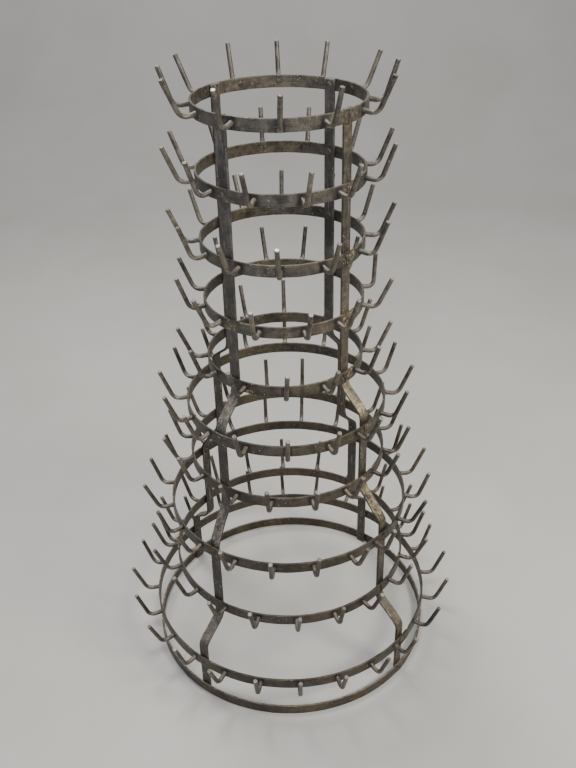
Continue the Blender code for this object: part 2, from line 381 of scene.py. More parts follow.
def iron_material(
    name, dark, light, rust_share, dust_and_top_light_share, speck_share, metallic, polish, scratched, painted_light_lift=1.0
):
    """Old forged iron: mottled patina, lengthwise drawing marks, rust, dust and painted top light, worn
    edges, and painted light and shade.
    """
    g = Graph(name)
    place = g.node("ShaderNodeTexCoord").outputs["Object"]
    grain = g.attribute("grain").outputs["Vector"]
    edge = g.attribute("edge").outputs["Fac"]
    tip = g.attribute("tip").outputs["Fac"]
    rub = g.attribute("rub").outputs["Fac"]
    gold_and_warm_light = g.attribute("gold_and_warm_light").outputs["Fac"]
    tone_and_shade = g.attribute("tone_and_shade").outputs["Fac"]
    joint = g.attribute("joint").outputs["Fac"]
    crusted = g.attribute("crust").outputs["Fac"]
    root_dark = g.attribute("root_dark").outputs["Fac"]
    normal = g.node("ShaderNodeSeparateXYZ")
    g.feed(normal.inputs[0], g.node("ShaderNodeNewGeometry").outputs["Normal"])
    upward = normal.outputs["Z"]

    broad = g.noise(place, 7.0, 3.0, 0.55)
    middle = g.noise(place, 52.0, 6.0, 0.66, 0.3)
    fine = g.noise(place, 430.0, 5.0, 0.68)
    streak = g.noise(g.stretched(grain, (1.0, 1.0, 0.035)), 620.0, 3.0, 0.6)
    patch = g.noise(place, 23.0, 8.0, 0.7, 0.6)
    scaly = g.noise(place, 150.0, 7.0, 0.72, 0.4)
    flake = g.cells(g.stretched(place, (1.0, 1.0, 0.6)), 260.0)

    # The patina: brown where it is thin, blue-black where the forge scale is left.
    mottle = g.math("ADD", g.math("MULTIPLY", broad, 0.45), g.math("MULTIPLY", middle, 0.55))
    colour = g.mix(g.span(mottle, 0.37, 0.64), dark, light)
    scale_mask = g.span(g.noise(place, 88.0, 6.0, 0.7, 0.5), 0.53, 0.64)
    colour = g.mix(g.math("MULTIPLY", scale_mask, 0.55), colour, FORGE_SCALE)
    # Tone: random lightness of each piece, and painted shade on the strips' sides and on the back uprights'
    # slopes.
    tone_and_shade_gain = g.span(tone_and_shade, 0.0, 1.0, 0.72, 1.32, smooth=False)
    grain_gain = g.span(streak, 0.3, 0.7, 0.86, 1.18)
    fine_gain = g.span(fine, 0.3, 0.7, 0.76, 1.30)
    gain = g.math("MULTIPLY", g.math("MULTIPLY", tone_and_shade_gain, grain_gain), fine_gain)
    grey = g.node("ShaderNodeCombineColor")
    for channel in range(3):
        g.feed(grey.inputs[channel], gain)
    colour = g.mix(1.0, colour, grey.outputs[0], "MULTIPLY")

    # Painted light and shade: the iron is painted darker and browner near the floor, and lighter and greyer
    # near the top, where more light falls.
    painted_light_height = g.span(g.math("ADD", g.split_height(place), g.math("MULTIPLY", broad, 0.16)), 0.44, 1.24)
    painted_light_height = g.math("MULTIPLY", painted_light_height, painted_light_lift)
    colour = g.mix(1.0, colour, g.mix(painted_light_height, PAINTED_SHADE_BELOW, PAINTED_LIGHT_ABOVE), "MULTIPLY")

    # Painted warm light: an olive cast is painted on the strip faces that turn toward the key light; on the
    # rods and uprights it is the iron's own olive cast.
    colour = g.mix(gold_and_warm_light, colour, g.mix(1.0, colour, OLIVE_AND_WARM_LIGHT, "MULTIPLY"))

    # The strip is painted darker round the roots of the hooks.
    root_dark_mask = g.math("ADD", g.math("MULTIPLY", root_dark, 0.7), g.math("MULTIPLY", patch, 0.6))
    root_dark_mask = g.span(root_dark_mask, 0.50, 0.86)
    colour = g.mix(g.math("MULTIPLY", root_dark_mask, 0.75), colour, ROOT_DARK)

    # Rust gathers round the joints, and crust lies thick on a few of them.
    rust_mask = g.span(g.math("ADD", patch, g.math("MULTIPLY", joint, 0.14)), 0.56, 0.70)
    rust_mask = g.math("MULTIPLY", rust_mask, g.span(scaly, 0.38, 0.62))
    rust_colour = g.mix(g.span(fine, 0.35, 0.65), RUST_DARK, RUST_LIGHT)
    colour = g.mix(g.math("MULTIPLY", rust_mask, rust_share), colour, rust_colour)
    crust_mask = g.math("ADD", g.math("MULTIPLY", crusted, 0.75), g.math("MULTIPLY", scaly, 0.6))
    crust_mask = g.span(crust_mask, 0.62, 0.86)
    crust_colour = g.mix(g.span(flake, 0.15, 0.55), CRUST_LIGHT, CRUST_DARK)
    colour = g.mix(g.math("MULTIPLY", crust_mask, 0.85), colour, crust_colour)

    # Where bottles and hands have rubbed, the iron shows lighter along the drawing marks.
    worn = g.math("ADD", g.math("MULTIPLY", streak, 0.55), g.math("MULTIPLY", middle, 0.8))
    rub_mask = g.math("MULTIPLY", rub, g.span(worn, 0.50, 0.78))
    polished = g.math("ADD", g.math("MULTIPLY", scaly, 0.6), g.math("MULTIPLY", fine, 0.4))
    polished = g.span(polished, 0.47, 0.60)
    rub_colour = g.mix(gold_and_warm_light, g.mix(polished, RUB_GREY, RUB_WHITE), g.mix(polished, RUB_TAN, RUB_GOLD))
    colour = g.mix(rub_mask, colour, rub_colour)
    edge_mask = g.math("MULTIPLY", g.span(edge, 0.3, 1.0), g.span(middle, 0.40, 0.62))
    colour = g.mix(g.math("MULTIPLY", edge_mask, 0.24), colour, EDGE_WEAR)
    scratch = g.noise(g.stretched(grain, (1.0, 1.0, 0.06)), 560.0, 2.0, 0.5)
    scratch_area = g.span(g.noise(place, 12.0, 3.0, 0.6), 0.50, 0.60)
    scratch_mask = g.math("MULTIPLY", g.span(scratch, 0.62, 0.69), scratch_area)
    colour = g.mix(g.math("MULTIPLY", scratch_mask, scratched), colour, RUB_WHITE)
    # Golden flakes follow the gold share, so on the strips they gather where the warm light is painted.
    golden = g.math("MULTIPLY", g.span(scaly, 0.53, 0.64), g.span(patch, 0.44, 0.60))
    colour = g.mix(g.math("MULTIPLY", golden, g.math("MULTIPLY", gold_and_warm_light, 0.60)), colour, GOLDEN_FLAKE)

    # Dust and painted top light: faces that point up are painted paler, in patches.
    dust_and_top_light_area = g.span(g.noise(place, 95.0, 5.0, 0.7), 0.30, 0.60)
    dust_and_top_light_mask = g.math("MULTIPLY", g.span(upward, 0.35, 0.97), dust_and_top_light_area)
    dust_and_top_light_mask = g.math("MULTIPLY", dust_and_top_light_mask, dust_and_top_light_share)
    colour = g.mix(dust_and_top_light_mask, colour, DUST_AND_TOP_LIGHT)

    # Pale grit lies here and there on what faces up.
    grit = g.math("MULTIPLY", g.span(g.cells(place, 120.0), 0.10, 0.22, 1.0, 0.0), g.span(upward, 0.5, 0.9))
    grit = g.math("MULTIPLY", grit, g.span(g.noise(place, 8.0, 2.0, 0.5), 0.48, 0.56))
    colour = g.mix(g.math("MULTIPLY", grit, 0.8), colour, GRIT)

    tip_mask = g.math("MULTIPLY", tip, g.span(fine, 0.26, 0.52))
    colour = g.mix(tip_mask, colour, CUT_END)

    flecks = g.span(g.cells(place, 155.0), 0.06, 0.15, 1.0, 0.0)
    flecks = g.math("MULTIPLY", flecks, g.span(g.noise(place, 17.0, 2.0, 0.5), 0.52, 0.60))
    flecks = g.math("MULTIPLY", flecks, speck_share)
    colour = g.mix(flecks, colour, PAINT_FLECK)

    bare = g.math("MAXIMUM", g.math("MULTIPLY", tip_mask, 0.9), g.math("MULTIPLY", edge_mask, 0.55))
    bare = g.math("MAXIMUM", bare, metallic)
    bare = g.math("SUBTRACT", bare, g.math("MULTIPLY", dust_and_top_light_mask, 0.5), clamp=True)
    bare = g.math("MULTIPLY", bare, g.math("SUBTRACT", 1.0, g.math("MAXIMUM", rust_mask, crust_mask)))

    rough = g.span(middle, 0.3, 0.7, 0.43 - polish, 0.63 - polish)
    rough = g.math("ADD", rough, g.math("MULTIPLY", g.math("MAXIMUM", rust_mask, crust_mask), 0.25))
    rough = g.math("ADD", rough, g.math("MULTIPLY", dust_and_top_light_mask, 0.25))
    smoother = g.math("MULTIPLY", g.math("MAXIMUM", edge_mask, tip_mask), 0.16)
    rough = g.math("SUBTRACT", rough, smoother, clamp=True)

    height = g.math("ADD", g.math("MULTIPLY", middle, 0.55), g.math("MULTIPLY", fine, 0.18))
    height = g.math("ADD", height, g.math("MULTIPLY", streak, 0.14))
    height = g.math("ADD", height, g.math("MULTIPLY", scale_mask, 0.08))
    height = g.math("ADD", height, g.math("MULTIPLY", g.math("MULTIPLY", scaly, rust_mask), 0.8))
    height = g.math("ADD", height, g.math("MULTIPLY", g.math("MULTIPLY", flake, crust_mask), -1.3))
    pits = g.span(g.cells(place, 330.0), 0.0, 0.22, -0.35, 0.0)
    height = g.math("ADD", height, g.math("MULTIPLY", pits, g.span(patch, 0.46, 0.6)))
    bump = g.node("ShaderNodeBump")
    bump.inputs["Strength"].default_value = 0.8
    bump.inputs["Distance"].default_value = 0.0009
    g.feed(bump.inputs["Height"], height)

    shader = g.node("ShaderNodeBsdfPrincipled")
    g.feed(shader.inputs["Base Color"], colour)
    g.feed(shader.inputs["Roughness"], rough)
    g.feed(shader.inputs["Metallic"], bare)
    g.feed(shader.inputs["Normal"], bump.outputs["Normal"])
    shader.inputs["IOR"].default_value = 1.5
    g.feed(g.node("ShaderNodeOutputMaterial").inputs["Surface"], shader.outputs[0])
    return g.material


# Olive cast: on the strips it is painted warm light.
OLIVE_AND_WARM_LIGHT = (1.13, 1.04, 0.80, 1.0)
# Painted shade near the floor and painted light near the top, by height.
PAINTED_SHADE_BELOW = (0.85, 0.78, 0.69, 1.0)
PAINTED_LIGHT_ABOVE = (1.58, 1.55, 1.52, 1.0)
FORGE_SCALE = (0.022, 0.022, 0.025, 1.0)
# Darkening round the roots of the hooks.
ROOT_DARK = (0.020, 0.015, 0.012, 1.0)
RUST_DARK = (0.050, 0.031, 0.020, 1.0)
RUST_LIGHT = (0.115, 0.072, 0.043, 1.0)
CRUST_DARK = (0.052, 0.039, 0.028, 1.0)
CRUST_LIGHT = (0.300, 0.245, 0.155, 1.0)
GOLDEN_FLAKE = (0.300, 0.250, 0.140, 1.0)
RUB_GREY = (0.135, 0.116, 0.098, 1.0)
RUB_WHITE = (0.520, 0.480, 0.420, 1.0)
RUB_TAN = (0.300, 0.230, 0.125, 1.0)
RUB_GOLD = (0.900, 0.800, 0.500, 1.0)
EDGE_WEAR = (0.270, 0.240, 0.200, 1.0)
# Dust, and painted light on faces that point up.
DUST_AND_TOP_LIGHT = (0.300, 0.265, 0.210, 1.0)
GRIT = (0.560, 0.470, 0.310, 1.0)
CUT_END = (0.560, 0.530, 0.470, 1.0)
PAINT_FLECK = (0.720, 0.700, 0.640, 1.0)

HOOP_IRON = iron_material(
    "forged_hoop_iron", dark=(0.024, 0.022, 0.020, 1.0), light=(0.084, 0.075, 0.063, 1.0),
    rust_share=0.65, dust_and_top_light_share=0.15, speck_share=0.9, metallic=0.28, polish=0.05, scratched=0.18,
)
# The rods take less of the painted light and shade by height.
ROD_IRON = iron_material(
    "drawn_rod_iron", dark=(0.037, 0.034, 0.031, 1.0), light=(0.135, 0.124, 0.107, 1.0),
    rust_share=0.45, dust_and_top_light_share=0.45, speck_share=0.6, metallic=0.42, polish=0.12, scratched=0.20, painted_light_lift=0.45,
)
BAR_IRON = iron_material(
    "forged_bar_iron", dark=(0.023, 0.022, 0.023, 1.0), light=(0.074, 0.068, 0.062, 1.0),
    rust_share=0.60, dust_and_top_light_share=0.50, speck_share=1.0, metallic=0.28, polish=0.05, scratched=0.42,
)
BASE_IRON = iron_material(
    "base_hoop_iron", dark=(0.030, 0.026, 0.022, 1.0), light=(0.096, 0.083, 0.066, 1.0),
    rust_share=0.80, dust_and_top_light_share=0.55, speck_share=1.0, metallic=0.22, polish=0.03, scratched=0.12,
)
RIVET_IRON = iron_material(
    "hammered_rivet_iron", dark=(0.030, 0.027, 0.024, 1.0), light=(0.094, 0.083, 0.068, 1.0),
    rust_share=0.85, dust_and_top_light_share=0.60, speck_share=0.5, metallic=0.30, polish=0.08, scratched=0.2,
)
CRUST_IRON = iron_material(
    "flaked_crust", dark=(0.050, 0.038, 0.027, 1.0), light=(0.250, 0.205, 0.130, 1.0),
    rust_share=0.40, dust_and_top_light_share=0.30, speck_share=0.6, metallic=0.05, polish=0.0, scratched=0.0,
)


# ---- hoops ------------------------------------------------------------------------
def eased(value, low, high):
    """Smooth rise from 0 at low to 1 at high."""
    share = np.clip((value - low) / (high - low), 0.0, 1.0)
    return share * share * (3.0 - 2.0 * share)


def lap_end(hoop):
    """Angle where the outer end of a hoop's strip stops, just before the upright's rivet."""
    angle = UPRIGHT_ANGLES[LAP_UPRIGHT][LEVEL_OF_HOOP[hoop]]
    return angle - math.degrees(LAP_BEFORE_RIVET / HOOP_RADII[hoop])


def strip_layers(hoop):
    """Angles along a hoop's strip, and how far its inner and outer faces move at the scarfed lap."""
    radius = HOOP_RADII[hoop]
    lap = math.degrees(LAP_LENGTH / radius)
    ramp = math.degrees(LAP_RAMP / radius)
    total = 360.0 + lap
    steps = int(math.radians(total) * radius / STRIP_STEP)
    walked = np.linspace(0.0, total, steps)
    over = eased(walked, 360.0 - ramp, 360.0)
    share = np.clip((walked - 360.0) / lap, 0.0, 1.0)
    inner = over * (STRIP_THICKNESS - SCARF_THIN + 0.0001) + share * SCARF_THIN
    outer = over * SCARF_PROUD - SCARF_THIN * np.clip(1.0 - walked / lap, 0.0, 1.0)
    return lap_end(hoop) + lap - walked, inner, outer, walked


def build_strip(hoop):
    """The flat strip of one hoop, walked once round and scarfed over its own start."""
    name = "base_hoop_strip" if hoop == len(HOOP_TOPS) - 1 else "hoop_strip_%02d" % (hoop + 1)
    section, edges = rounded_section(STRIP_THICKNESS, STRIP_HEIGHT, STRIP_CORNER, 2, 7)
    angles, inner, outer, walked = strip_layers(hoop)
    radius = HOOP_RADII[hoop]
    depth = (section[None, :, 0] + STRIP_THICKNESS / 2) / STRIP_THICKNESS
    outward = radius - STRIP_THICKNESS + inner[:, None] + depth * (STRIP_THICKNESS + outer - inner)[:, None]
    turns = np.radians(angles)[:, None]
    out = np.stack((np.sin(turns), -np.cos(turns), np.zeros_like(turns)), axis=-1)
    height = middle_height(hoop) + section[None, :, 1] + 0.0 * turns
    points = AXIS + outward[..., None] * out + height[..., None] * UP
    hammered = 0.00034 * soft_noise(points, 34.0, hoop) + 0.00015 * soft_noise(points, 120.0, hoop + 20)
    wander = 0.00045 * soft_noise(points, 9.0, hoop + 40)
    rise = 0.00036 * soft_noise(points * np.array((1.0, 1.0, 0.0)), 55.0, hoop + 60)
    in_lap = ((walked < 8.0) | (walked > 352.0))[:, None, None]
    hammered = np.where(in_lap, 0.25, 1.0) * hammered[..., None]
    points = points + hammered * out * np.sign(section[None, :, 0, None] + 1e-9)
    points = points + (np.abs(section[None, :, 1]) / STRIP_HEIGHT * 2 * rise)[..., None] * UP
    points = points + wander[..., None] * np.array((0.0, 0.0, 0.35))
    points[..., 2] = np.maximum(points[..., 2], 0.0)
    along = np.radians(walked)[:, None] * radius + 0.0 * section[None, :, 0]
    grain = np.stack((section[None, :, 0] + 0.0 * along, section[None, :, 1] + 0.0 * along, along), axis=-1)
    grain = grain + np.array((hoop * 0.31, 0.0, 0.0))
    roots = np.array(hook_angles(hoop) or [lap_end(hoop)])
    gaps = np.abs(wrapped(angles[:, None] - roots[None, :])).min(axis=1)
    reach = np.radians(gaps) * radius
    outer_face = (section[None, :, 0] > 0.0).astype(float)
    # The strip is darkened round each hook root.
    root_dark = np.exp(-((reach / ROOT_DARK_REACH) ** 2))[:, None] * outer_face
    mesher = Mesher()
    # Painted warm light: the olive share is higher on the outer faces toward the right and the inner faces
    # toward the left, the faces that turn toward the key light, with random olive added.
    warm_light_and_olive = np.where(outer_face > 0.5, 0.30 + 0.35 * np.sin(turns), 0.60 - 0.25 * np.sin(turns))
    warm_light_and_olive = np.clip(warm_light_and_olive + 0.55 * soft_noise(points[:, :1], 6.0, hoop + 90), 0.0, 1.0)
    # Painted shade: the strip is painted darker toward its left and right sides.
    tone_and_shade = 0.60 - 0.42 * eased(np.abs(np.sin(turns)), 0.55, 0.95)
    mesher.tube(points, grain, edge=edges[None, :], gold_and_warm_light=warm_light_and_olive, root_dark=root_dark, tone_and_shade=tone_and_shade)
    strip = mesher.build(name, BASE_IRON if HOOK_COUNTS[hoop] == 0 else HOOP_IRON)
    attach(strip, "root")
    if HOOK_COUNTS[hoop] == 0:
        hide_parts("base_hoop")
    else:
        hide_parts("hooked_hoop_%02d" % (hoop + 1))


def hook_centres(hoop, place):
    """Centre line of a hook in (outward, sideways, up), from inside the strip to its end."""
    side_lean, out_lean = hook_leans(hoop, place)
    length = math.hypot(LEG_OUT, LEG_UP)
    lean = math.atan2(LEG_OUT, LEG_UP) + math.radians(out_lean)
    leg = np.array((math.sin(lean), math.sin(math.radians(side_lean)), math.cos(lean)))
    elbow = np.array((ELBOW_OUT, 0.0, -ELBOW_DROP))
    start = elbow * (1.0 - BEND_REACH / ELBOW_OUT)
    end = elbow + BEND_REACH * leg
    centres = [np.array((-0.6 * STRIP_THICKNESS, 0.0, 0.0)), np.array((0.0006, 0.0, 0.0))]
    centres += [share * start for share in (0.22, 0.6)]
    for step in range(11):
        share = step / 10
        centres.append((1 - share) ** 2 * start + 2 * share * (1 - share) * elbow + share * share * end)
    tip = elbow + length * leg
    for share in (0.12, 0.25, 0.4, 0.55, 0.7, 0.84, 0.94):
        centres.append(end + (tip - end) * share)
    centres += [tip - 0.0011 * leg, tip - 0.0004 * leg, tip]
    return np.array(centres)


def rod_frame(centres):
    """Unit directions along the rod and two across it, at each station."""
    along = np.gradient(centres, axis=0)
    along /= np.linalg.norm(along, axis=1)[:, None]
    side = np.array((0.0, 1.0, 0.0))
    first = side - along * (along @ side)[:, None]
    first /= np.linalg.norm(first, axis=1)[:, None]
    return along, first, np.cross(along, first)


def build_hooks(hoop):
    """All the rod hooks of one hoop, each with its cut end and its peened tenon."""
    mesher = Mesher()
    turns = np.linspace(0.0, 2.0 * math.pi, ROD_SIDES, endpoint=False)
    inner = HOOP_RADII[hoop] - STRIP_THICKNESS
    wear = np.random.default_rng(hoop + 11)
    for place, angle in enumerate(hook_angles(hoop)):
        local = hook_centres(hoop, place)
        along, first, second = rod_frame(local)
        walked = np.concatenate(([0.0], np.cumsum(np.linalg.norm(np.diff(local, axis=0), axis=1))))
        radii = ROD_RADIUS * np.linspace(1.02, 0.95, len(local))
        radii[:3] = ROD_RADIUS * np.array((1.10, 1.14, 1.08))
        radii[-3:] *= np.array((1.0, 0.96, 0.84))
        bend = np.exp(-(((walked - walked[9]) / 0.0085) ** 2))
        wide = radii * (1.0 + 0.11 * bend)
        thick = radii * (1.0 - 0.08 * bend)
        ring = (
            wide[:, None, None] * np.cos(turns)[None, :, None] * first[:, None, :]
            + thick[:, None, None] * np.sin(turns)[None, :, None] * second[:, None, :]
        )
        shape = local[:, None, :] + ring
        basis = np.stack((direction(angle), sideways(angle), UP))
        centre = placed(angle, HOOP_RADII[hoop], 0.0, middle_height(hoop))
        points = centre + shape @ basis
        lumps = 0.00011 * soft_noise(points, 210.0, hoop + 3) + 0.00013 * soft_noise(points, 70.0, hoop + 9)
        points = points + lumps[..., None] * ((ring / radii[:, None, None]) @ basis)
        around = np.stack((np.cos(turns), np.sin(turns)), axis=-1) * ROD_RADIUS
        grain = np.concatenate((
            np.broadcast_to(around[None, :, :], (len(local), ROD_SIDES, 2)),
            np.broadcast_to(walked[:, None, None], (len(local), ROD_SIDES, 1)),
        ), axis=-1) + np.array((place * 0.11, hoop * 0.17, 0.0))
        tip = np.zeros(len(local))
        tip[-3:] = (0.25, 0.75, 1.0)
        worn = 0.05 + 0.90 * wear.random() ** 1.7
        tone_and_shade = 0.5 + wear.uniform(-0.40, 0.40)
        rub = (0.30 + 0.45 * wear.random()) * bend + 0.18 * eased(walked, 0.07, 0.085)
        mesher.tube(points, grain, tip=worn * tip[:, None], rub=rub[:, None], gold_and_warm_light=0.15, tone_and_shade=tone_and_shade)
        tenon_head(mesher, angle, inner, middle_height(hoop), place, hoop)
    hooks = mesher.build("hooks_of_hoop_%02d" % (hoop + 1), ROD_IRON)
    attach(hooks, "root")
    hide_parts("hooked_hoop_%02d" % (hoop + 1))


def tenon_head(mesher, angle, inner, height, place, hoop):
    """The tenon of a hook, hammered out to a low button on the inside of the strip."""
    profile = (
        (0.0008, 0.60), (0.0008, 0.97), (-0.0003, 1.0), (-0.0007, 0.93),
        (-0.0011, 0.72), (-0.00135, 0.42), (-0.0014, 0.18),
    )
    size = TENON_RADIUS * (1.0 + 0.10 * math.sin(3.7 * place + hoop))
    lathe(mesher, angle, inner, height, profile, size, 16, 0.00028, 260.0, 0.35)


def lathe(mesher, angle, outward, height, profile, radius, sides, rough, scale, tone_and_shade):
    """Turn a profile about the outward line at an angle, and dent it."""
    turns = np.linspace(0.0, 2.0 * math.pi, sides, endpoint=False)
    rings = []
    for offset, share in profile:
        aside = share * radius * np.cos(turns)
        rise = share * radius * np.sin(turns)
        rings.append([placed(angle, outward + offset, a, height + r) for a, r in zip(aside, rise)])
    points = np.array(rings)
    dents = rough * soft_noise(points, scale, 5)
    centre = placed(angle, outward, 0.0, height)
    push = points - centre
    push /= np.maximum(np.linalg.norm(push, axis=-1), 1e-6)[..., None]
    points = points + dents[..., None] * push
    if profile[0][0] > profile[-1][0]:
        points = points[::-1]
    mesher.tube(points, points, tone_and_shade=tone_and_shade)


# ---- uprights ---------------------------------------------------------------------
def bar_line(upright):
    """The outer face's line down one upright: outward, height, angle."""
    angles = UPRIGHT_ANGLES[upright]
    corners = [(bar_face(LEVEL_RADII[0]), BAR_TOP, angles[0])]
    for step in range(3):
        corners.append((bar_face(LEVEL_RADII[step]), STEP_STARTS[upright][step], angles[step]))
        corners.append((bar_face(LEVEL_RADII[step + 1]), STEP_ENDS[upright][step], angles[step + 1]))
    corners.append((bar_face(LEVEL_RADII[3]), BAR_FOOT, angles[3]))
    corners = np.array(corners)
    line = [corners[0]]
    for step in range(1, len(corners) - 1):
        here = corners[step]
        back = corners[step - 1] - here
        ahead = corners[step + 1] - here
        start = here + back * STEP_REACH / math.hypot(back[0], back[1])
        end = here + ahead * STEP_REACH / math.hypot(ahead[0], ahead[1])
        gap = start - line[-1]
        pieces = max(int(math.hypot(gap[0], gap[1]) / BAR_STEP), 1)
        line += [line[-1] + gap * share for share in np.linspace(0.0, 1.0, pieces + 1)[1:-1]]
        for share in np.linspace(0.0, 1.0, 8):
            line.append((1 - share) ** 2 * start + 2 * share * (1 - share) * here + share * share * end)
    gap = corners[-1] - line[-1]
    pieces = max(int(math.hypot(gap[0], gap[1]) / BAR_STEP), 1)
    last = line[-1]
    line += [last + gap * share for share in np.linspace(0.0, 1.0, pieces + 1)[1:]]
    return np.array(line)


def build_upright(upright):
    """One flat bar with its three rounded steps outward."""
    line = bar_line(upright)
    section, edges = rounded_section(BAR_WIDTH, BAR_THICKNESS, BAR_CORNER, 9, 2)
    slope = np.gradient(line[:, :2], axis=0)
    slope /= np.linalg.norm(slope, axis=1)[:, None]
    inward = np.stack((slope[:, 1], -slope[:, 0]), axis=-1)
    walked = np.concatenate(([0.0], np.cumsum(np.linalg.norm(np.diff(line[:, :2], axis=0), axis=1))))
    rings = []
    for (outward, height, angle), normal in zip(line, inward):
        ring = []
        for across, deep in section:
            depth = deep + BAR_THICKNESS / 2
            ring.append(placed(angle, outward + normal[0] * depth, across, height + normal[1] * depth))
        rings.append(ring)
    points = np.array(rings)
    middle = points.mean(axis=1, keepdims=True)
    push = points - middle
    push /= np.linalg.norm(push, axis=-1)[..., None]
    dents = 0.00032 * soft_noise(points, 42.0, upright + 70)
    dents = dents + 0.00014 * soft_noise(points, 150.0, upright + 80)
    points = points + dents[..., None] * push
    points[..., 2] = np.maximum(points[..., 2], 0.0008)
    grain = np.concatenate((
        np.broadcast_to(section[None, :, :], (len(line), len(section), 2)),
        np.broadcast_to(walked[:, None, None], (len(line), len(section), 1)),
    ), axis=-1) + np.array((0.23 * upright + 0.7, 0.0, 0.0))
    tilt = np.clip(1.6 * np.abs(slope[:, 0]), 0.0, 1.0)
    amounts = np.interp(-line[:, 1], [-0.56, -0.50, -0.33, -0.27], [0.0, 1.0, 1.0, 2.0])
    strength = np.interp(amounts, (0.0, 1.0, 2.0), RUB_OF_SLOPES[upright])
    outer = (section[:, 1] < 0).astype(float)
    rub = (strength * tilt)[:, None] * outer[None, :]
    mesher = Mesher()
    gold_and_warm_light = GOLD_AND_WARM_LIGHT_OF_UPRIGHT[upright]
    # Painted shade: the sloped parts of the back uprights are painted darker.
    tone_and_shade = (TONE_AND_LIGHT_OF_UPRIGHT[upright] - PAINTED_SHADE_OF_SLOPES[upright] * tilt)[:, None]
    mesher.tube(
        points[:, ::-1], grain[:, ::-1], edge=edges[None, ::-1], rub=rub[:, ::-1], gold_and_warm_light=gold_and_warm_light, tone_and_shade=tone_and_shade
    )
    name = "upright_" + UPRIGHT_NAMES[upright]
    bar = mesher.build("bar_" + UPRIGHT_NAMES[upright], BAR_IRON)
    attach(bar, "root")
    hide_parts(name)


# ---- rivets -----------------------------------------------------------------------
def head_profile(face, side, height):
    """Stations of a domed head from its rim to its crown."""
    shares = ((0.0, 1.0), (0.22, 0.985), (0.48, 0.88), (0.74, 0.66), (0.92, 0.40), (1.0, 0.16))
    return [(face + side * height * rise, radius) for rise, radius in shares]


def build_rivet(hoop, upright):
    """A rivet through one crossing, hammered to a low dome on both sides."""
    angle = UPRIGHT_ANGLES[upright][LEVEL_OF_HOOP[hoop]]
    outer = HOOP_RADII[hoop] - 0.0001
    if upright == LAP_UPRIGHT:
        outer += SCARF_PROUD
    inner = bar_face(HOOP_RADII[hoop]) - BAR_THICKNESS + 0.0001
    neck = SHANK_RADIUS / HEAD_RADIUS
    profile = head_profile(inner, -1.0, HEAD_HEIGHT)[::-1]
    profile += [(inner, neck), (outer, neck)]
    profile += head_profile(outer, 1.0, HEAD_HEIGHT)
    mesher = Mesher()
    tone_and_shade = 0.45 + 0.3 * math.sin(3.3 * hoop + 1.9 * upright)
    lathe(mesher, angle, 0.0, middle_height(hoop), profile, HEAD_RADIUS, 20, 0.00035, 240.0, tone_and_shade)
    name = "rivet_%s_%02d" % (UPRIGHT_NAMES[upright], hoop + 1)
    rivet = mesher.build("domed_" + name, RIVET_IRON)
    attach(rivet, "root")
    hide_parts(name)


def build_lap_rivets(hoop):
    """The small rivets that hold the lapped ends of a hoop's strip."""
    mesher = Mesher()
    radius = HOOP_RADII[hoop]
    for distance, proud, size in LAP_RIVETS:
        angle = lap_end(hoop) + math.degrees(distance / radius)
        inner = radius - STRIP_THICKNESS
        outer = radius + proud - 0.0001
        profile = head_profile(inner, -1.0, 0.0011)[::-1]
        profile += [(inner, 0.5), (outer, 0.5)]
        profile += head_profile(outer, 1.0, 0.0016)
        lathe(mesher, angle, 0.0, middle_height(hoop), profile, size, 16, 0.0003, 240.0, 0.4)
    rivets = mesher.build("lap_rivets_%02d" % (hoop + 1), RIVET_IRON)
    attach(rivets, "root")


def add_flake(mesher, chance, hoop, angle, aside, rise, proud, size, tone_and_shade):
    """One small tilted lump standing on a strip's outer face."""
    turns = np.linspace(0.0, 2.0 * math.pi, 9, endpoint=False)
    wide, tall, thick = size
    lean = chance.normal(0.0, 0.25)
    spun = angle + math.degrees(aside / HOOP_RADII[hoop])
    rough = chance.uniform(0.75, 1.2, len(turns))
    rings = []
    for deep, share in ((-0.5, 0.85), (0.25, 1.0), (0.8, 0.72), (1.0, 0.3)):
        out = HOOP_RADII[hoop] + proud + thick * deep + lean * wide * share * np.cos(turns) * 0.5
        across = wide * share * rough * np.cos(turns)
        above = middle_height(hoop) + rise + tall * share * rough * np.sin(turns)
        rings.append([placed(spun, o, a, h) for o, a, h in zip(out, across, above)])
    points = np.array(rings)
    mesher.tube(points, points, tone_and_shade=tone_and_shade)


def build_crust():
    """Flakes of crust standing on the crusted joints, and one dried crumb."""
    mesher = Mesher()
    chance = np.random.default_rng(37)
    for hoop, upright, amount in CRUSTS:
        angle = UPRIGHT_ANGLES[upright][LEVEL_OF_HOOP[hoop]]
        joint_proud = SCARF_PROUD if upright == LAP_UPRIGHT else 0.0
        for _ in range(int(64 * amount)):
            aside = chance.normal(0.0, 0.0062)
            rise = np.clip(chance.normal(0.0, 0.0062), -0.0075, 0.0095)
            wide = chance.uniform(0.0007, 0.0019)
            size = (wide, wide * chance.uniform(0.8, 2.4), chance.uniform(0.0003, 0.0010))
            on_rivet = math.hypot(aside, rise) < HEAD_RADIUS * 0.8
            proud = joint_proud + HEAD_HEIGHT * 0.55 if on_rivet else joint_proud
            add_flake(mesher, chance, hoop, angle, aside, rise, proud, size, chance.uniform(0.1, 1.0))
    hoop, angle, height, pieces = CRUMB
    for piece in range(pieces):
        aside = -0.007 + 0.014 * piece / pieces + chance.normal(0.0, 0.0006)
        rise = height + 0.0022 * math.sin(1.9 * piece) + chance.normal(0.0, 0.0006)
        size = (0.0016, chance.uniform(0.0008, 0.0018), chance.uniform(0.0010, 0.0022))
        add_flake(mesher, chance, hoop, angle, aside, rise, 0.0003, size, 1.0)
    crust = mesher.build("joint_crust", CRUST_IRON)
    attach(crust, "root")


